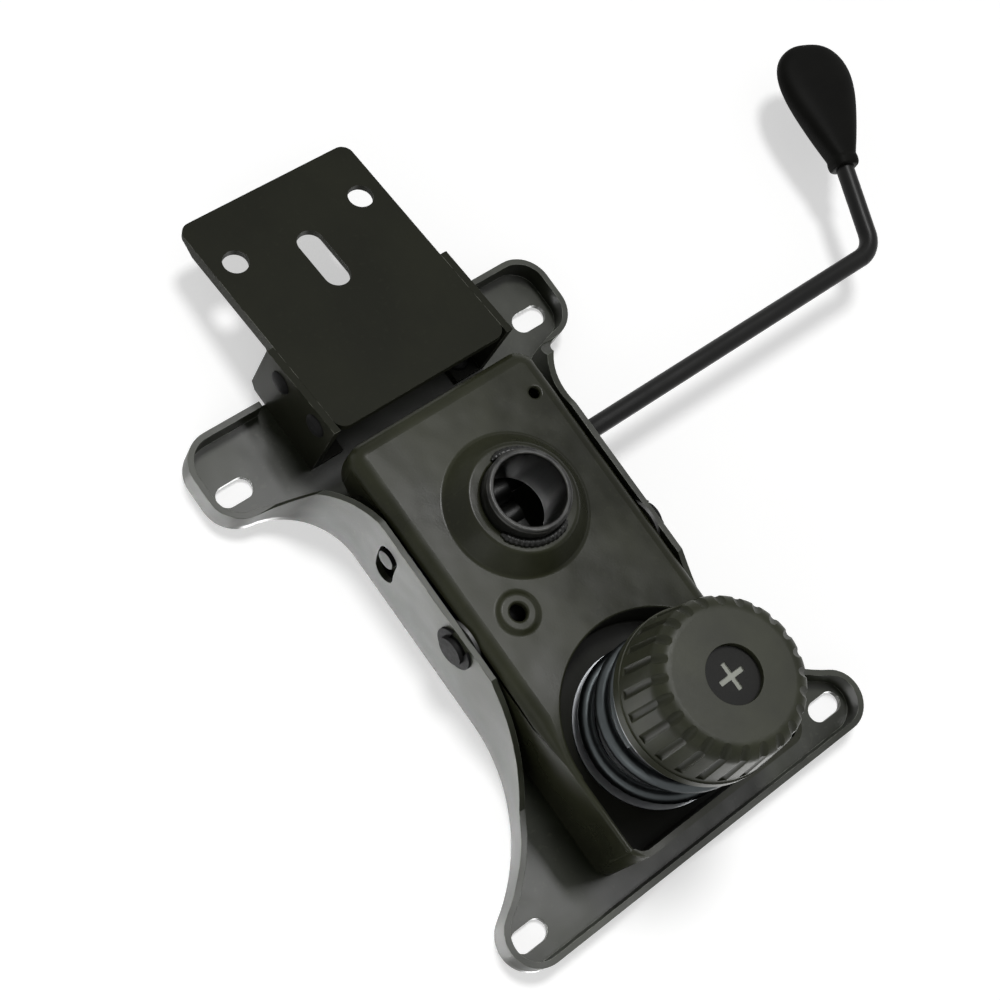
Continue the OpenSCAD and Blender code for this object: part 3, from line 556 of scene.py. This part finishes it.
# The seat plate is pressed from one sheet: a flat web with an hourglass outline and turned-down flanges.
# Its ears carry the slots for the seat's bolts, and the paint has rubbed off where it was handled.
# The saddle that the barrel nut pulls on is riveted under it and painted black.
seat_rim = 0.9 * MM
seat_paint = painted(
    "seat_paint", (0.012, 0.0135, 0.008), (0.036, 0.040, 0.026), (0.14, 0.15, 0.125),
    dulled=0.7, gloss=0.33, sheen=0.26,
)
bm = solid_copy("seat_plate")
round_edges(bm, seat_rim)
seat = finished(bm, "seat_pressing", seat_paint, "seat_frame")
keep_flats(seat)
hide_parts("seat_plate")
dress(bush_paint, "nut_saddle")


# The back bar bracket is a flat plate with turned-up lips, riveted between two cheeks under the seat plate.
# Plate and cheeks are blanked from thicker sheet and painted a little darker than the housing.
plate_front = Vector((0, 59, 17.4)) * MM
plate_slope = math.radians(8.9)
plate_side = 41 * MM
fold_r = 4.0 * MM
fold_steps = 5
plate_rim = 0.7 * MM
# The rubbed colour of plate and cheeks is pale, so their rims and folded lips show a painted highlight line
# as well as wear.
plate_paint = painted(
    "plate_paint", (0.0112, 0.0118, 0.0075), (0.0195, 0.0205, 0.0132), (0.15, 0.155, 0.13),
    dulled=0.6, gloss=0.46, sheen=0.05, wave=0.1,
)


def on_fold(middle):
    """True on the two long lower edges of the plate, where its lips are folded up."""
    step = middle - plate_front
    above = step.z * math.cos(plate_slope) - step.y * math.sin(plate_slope)
    return abs(middle.x) > plate_side - skin and above < skin


for node, name in (("bracket_plate", "back_plate"), ("bracket_cheeks", "back_cheeks")):
    bm = solid_copy(node)
    if node == "bracket_plate":
        round_edges(bm, fold_r, fold_steps, on_fold)
    round_edges(bm, plate_rim)
    sheet = finished(bm, name, plate_paint, "seat_frame")
    keep_flats(sheet)
    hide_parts(node)


# Small fittings: nylon bushes and washers, a pivot pin, clips and rivets in black oxide, rubber bumpers,
# and zinc-plated spring seats, nut, bolt and collars. They are pressed, riveted or pushed into place.
patch_scale = 60
grain_strength = 0.25


def plain_finish(name, colour, roughness, grain_scale, grain_depth, spread, metallic=0, sheen=0.5):
    """A bare finish with fine grain: its colour varies a little, and its bump follows the same grain. Where
    a mesh carries painted shade, it goes darker and duller.
    """
    material = bpy.data.materials.new(name)
    make, link = node_tree(material)
    place = make("TexCoord")

    def noise(scale, detail):
        texture = make("TexNoise")
        texture.inputs["Scale"].default_value = scale
        texture.inputs["Detail"].default_value = detail
        link(place.outputs["Object"], texture.inputs["Vector"])
        return texture.outputs["Fac"]

    grain = noise(grain_scale, 3)
    shade = make("ValToRGB")
    dark, light = shade.color_ramp.elements
    dark.position = 0.35
    dark.color = (*[c * (1 - spread) for c in colour], 1)
    light.position = 0.65
    light.color = (*[min(1, c * (1 + spread)) for c in colour], 1)
    link(noise(patch_scale, 4), shade.inputs["Fac"])
    dull = make("MapRange")
    dull.inputs["To Min"].default_value = roughness * 0.8
    dull.inputs["To Max"].default_value = min(1, roughness * 1.2)
    link(grain, dull.inputs["Value"])
    bump = make("Bump")
    bump.inputs["Strength"].default_value = grain_strength
    bump.inputs["Distance"].default_value = grain_depth
    link(grain, bump.inputs["Height"])
    # Where a mesh carries painted shade, the colour darkens and the finish goes duller.
    painted_shade = make("Attribute", attribute_name="painted_shade").outputs["Fac"]
    surface = make("BsdfPrincipled")
    surface.inputs["Metallic"].default_value = metallic
    surface.inputs["Specular IOR Level"].default_value = sheen
    link(blend(make, link, painted_shade, shade.outputs["Color"], painted_shade_colour), surface.inputs["Base Color"])
    link(maths(make, link, "MAXIMUM", dull.outputs[0], painted_shade), surface.inputs["Roughness"])
    link(bump.outputs["Normal"], surface.inputs["Normal"])
    link(surface.outputs[0], make("OutputMaterial").inputs["Surface"])
    return material


nylon = plain_finish("nylon", (0.62, 0.6, 0.53), 0.5, 900, 0.05 * MM, 0.06)
zinc = plain_finish("zinc_plate", (0.30, 0.31, 0.32), 0.40, 500, 0.03 * MM, 0.15, metallic=1)
rubber = plain_finish("bumper_rubber", (0.02, 0.02, 0.02), 0.7, 1200, 0.06 * MM, 0.1)
oxide = plain_finish("black_oxide", (0.008, 0.008, 0.008), 0.62, 700, 0.04 * MM, 0.25, sheen=0.08)
dark_nylon = plain_finish("black_nylon", (0.012, 0.012, 0.011), 0.5, 900, 0.05 * MM, 0.1)
dress(nylon, "pivot_bushes", "knob_washer")
dress(dark_nylon, "thrust_washers", "lever_bushes")
dress(oxide, "pivot_pin", "pivot_clips", "cheek_rivets", "plate_rivets", "saddle_rivets")
dress(zinc, "upper_spring_seat", "lower_spring_seat", "rocker_nut", "tension_bolt", "lever_collars")
dress(rubber, "front_bumpers", "rear_bumpers")


# The tension spring is wound cold from 6.2 mm oil-hardened wire, with a close half turn at each end.
# It is in two lengths that meet at a level plane, so that it shortens with the tilt and with the knob.
wire_r = 3.1 * MM
wire_sides = 16
coil_r = 28.9 * MM
coil_y = pocket_y
coil_low = -6.0 * MM
coil_high = 29.6 * MM
end_rise = 3.6 * MM
open_rise = coil_high - coil_low - 2 * end_rise
coil_runs = ((0.5, end_rise), (1.5, open_rise), (0.5, end_rise))
split_z = 3.0 * MM
turn_steps = 48
wire_crease = math.radians(50)
spring_wire = plain_finish(
    "spring_wire", (0.052, 0.058, 0.060), 0.36, 700, 0.03 * MM, 0.2, metallic=1
)


def wound_wire():
    """A round wire swept round the bolt's axis in three runs: a close end, open turns and a close end."""
    bm = bmesh.new()
    ring = bmesh.ops.create_circle(bm, segments=wire_sides, radius=wire_r, cap_ends=True)["verts"]
    bmesh.ops.rotate(bm, verts=ring, cent=(0, 0, 0), matrix=Matrix.Rotation(math.pi / 2, 3, "X"))
    bmesh.ops.translate(bm, verts=ring, vec=(coil_r, coil_y, coil_low))
    tip = bm.faces[:] + bm.edges[:] + bm.verts[:]
    for turns, rise in coil_runs:
        steps = int(turns * turn_steps)
        made = bmesh.ops.spin(
            bm, geom=tip, cent=(0, coil_y, 0), axis=(0, 0, 1), dvec=(0, 0, rise / steps),
            angle=turns * 2 * math.pi, steps=steps, use_merge=False, use_duplicate=False,
        )
        tip = made["geom_last"]
    bmesh.ops.recalc_face_normals(bm, faces=bm.faces)
    return bm


def spring_length(name, above):
    """The part of the spring above or below the plane where its two lengths meet."""
    bm = wound_wire()
    bmesh.ops.bisect_plane(
        bm, geom=everything(bm), dist=1e-7, plane_co=(0, 0, split_z),
        plane_no=(0, 0, 1), clear_inner=above, clear_outer=not above,
    )
    bmesh.ops.holes_fill(bm, edges=[e for e in bm.edges if e.is_boundary], sides=0)
    body = "housing" if above else "nut_carrier"
    return finished(bm, name, spring_wire, body, wire_crease)


upper_spring = spring_length("spring_upper", True)
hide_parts("tension_spring")
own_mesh(upper_spring)
lower_spring = spring_length("spring_lower", False)
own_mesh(lower_spring)


# The tension knob is moulded in dark grey plastic with flutes round its taper and a smooth collar.
# A separate cap with a plus mark, filled with pale paint, covers the head of the bolt.
# The flutes and the well of the cap are darkened with painted shade.
knob_low = -43 * MM
knob_rim = 0.5 * MM
edge_r = 7 * MM
face_r = 30.25 * MM
taper_high = -17 * MM
taper_r = 32.2 * MM
flute_depth = 1.1 * MM
# How dark the painted shade in the flutes is.
flute_shade = 0.9
well_r = 11.2 * MM
well_lip = 0.6 * MM
mark_floor = -40.2 * MM
mark_paint = (0.34, 0.35, 0.31)
knob_plastic = plain_finish(
    "knob_plastic", (0.026, 0.0278, 0.0165), 0.40, 1500, 0.05 * MM, 0.18, sheen=0.12
)
cap_plastic = plain_finish(
    "cap_plastic", (0.006, 0.006, 0.005), 0.45, 1500, 0.05 * MM, 0.18, sheen=0.07
)


def flute_shading(place):
    """How much painted shade a point of the knob takes, from how deep it lies in a flute or in the well of
    the cap, from 0 to 1.
    """
    out = math.hypot(place.x, place.y - coil_y)
    shoulder = knob_low + edge_r
    if out < well_r:
        return 1.0 if place.z > knob_low + well_lip else 0.0
    if place.z > taper_high or out < face_r - edge_r:
        return 0.0
    if place.z < shoulder:
        depth = edge_r - math.hypot(out - face_r + edge_r, place.z - shoulder)
    else:
        depth = face_r + (taper_r - face_r) * (place.z - shoulder) / (taper_high - shoulder) - out
    return flute_shade * max(0.0, min(1.0, depth / flute_depth))


def fill_mark(material):
    """Fills the plus mark of the cap, which lies deeper than its face, with pale paint."""
    tree = material.node_tree
    make = node_maker(tree)
    link = tree.links.new
    surface = tree.nodes["Principled BSDF"]
    plain = surface.inputs["Base Color"].links[0].from_socket
    depth = make("SeparateXYZ")
    link(tree.nodes["Texture Coordinate"].outputs["Object"], depth.inputs[0])
    below = maths(make, link, "GREATER_THAN", depth.outputs["Z"], mark_floor)
    link(blend(make, link, below, plain, mark_paint), surface.inputs["Base Color"])


bm = solid_copy("tension_knob")
round_edges(bm, knob_rim)
# The knob's points carry painted shade by how deep they lie in the flutes and the well of the cap.
shade_layer = bm.verts.layers.float.new("painted_shade")
for vert in bm.verts:
    vert[shade_layer] = flute_shading(vert.co)
knob = finished(bm, "knob_moulding", knob_plastic, "knob")
keep_flats(knob)
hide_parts("tension_knob")
fill_mark(cap_plastic)
dress(cap_plastic, "knob_cap")


# The height lever is a bent 8 mm rod, painted black, with a moulded paddle pushed on its end.
# Inside the housing it carries a tongue that presses the button of the gas lift.
# The paddle is lofted through stations: place along it, half width and half thickness in mm.
bend_place = Vector((-222, 11, 33)) * MM
bend_turn = math.radians(112)
neck_length = 40 * MM
paddle_sides = 24
section_fullness = 0.72
smooth_levels = 2
paddle_stations = (
    (0.0, 4.6, 4.6), (0.3, 5.9, 5.9), (1.6, 6.4, 6.4), (4.0, 6.5, 6.5), (5.2, 6.1, 6.0), (7.0, 6.9, 6.2),
    (14, 9.9, 6.7), (24, 13.6, 7.0), (34, 16.9, 6.8), (43, 18.4, 6.3), (50, 17.9, 5.7), (56, 15.2, 5.1),
    (60, 10.6, 4.4), (61.8, 5.0, 2.6),
)
handle_plastic = plain_finish(
    "handle_plastic", (0.0035, 0.0035, 0.003), 0.52, 1800, 0.05 * MM, 0.2, sheen=0.035
)
rod_paint = painted(
    "rod_paint", (0.004, 0.004, 0.0038), (0.008, 0.008, 0.0072), (0.03, 0.03, 0.028),
    dulled=0.3, gloss=0.36, sheen=0.14,
)
dress(rod_paint, "lever_rod")
dress(bush_paint, "lever_tongue")
bm = bmesh.new()
ring = bmesh.ops.create_circle(bm, segments=paddle_sides, radius=1.0)["verts"]
bmesh.ops.rotate(bm, verts=ring, cent=(0, 0, 0), matrix=Matrix.Rotation(math.pi / 2, 3, "Y"))
for vert in ring:
    across, up = vert.co.y, vert.co.z
    vert.co.y = math.copysign(abs(across) ** section_fullness, across)
    vert.co.z = math.copysign(abs(up) ** section_fullness, up)
loop = bm.edges[:]
bmesh.ops.contextual_create(bm, geom=loop)
x, wide, thick = paddle_stations[0]
bmesh.ops.scale(bm, verts=ring, vec=(1, wide * MM, thick * MM))
bmesh.ops.translate(bm, verts=ring, vec=(x * MM, 0, 0))
for next_x, next_wide, next_thick in paddle_stations[1:]:
    made = bmesh.ops.extrude_edge_only(bm, edges=loop)["geom"]
    ring = [v for v in made if isinstance(v, bmesh.types.BMVert)]
    loop = [e for e in made if isinstance(e, bmesh.types.BMEdge) and all(v in ring for v in e.verts)]
    bmesh.ops.scale(bm, verts=ring, vec=(1, next_wide / wide, next_thick / thick))
    bmesh.ops.translate(bm, verts=ring, vec=((next_x - x) * MM, 0, 0))
    x, wide, thick = next_x, next_wide, next_thick
bmesh.ops.contextual_create(bm, geom=loop)
bmesh.ops.recalc_face_normals(bm, faces=bm.faces)
along_neck = Matrix.Translation((neck_length, 0, 0))
paddle_place = Matrix.Translation(bend_place) @ Matrix.Rotation(bend_turn, 4, "Z") @ along_neck
bmesh.ops.transform(bm, matrix=paddle_place, verts=bm.verts)
paddle = finished(bm, "lever_paddle", handle_plastic, "lever", math.pi)
smoothing = paddle.modifiers.new("moulded", "SUBSURF")
smoothing.levels = smoothing.render_levels = smooth_levels
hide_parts("lever_handle")
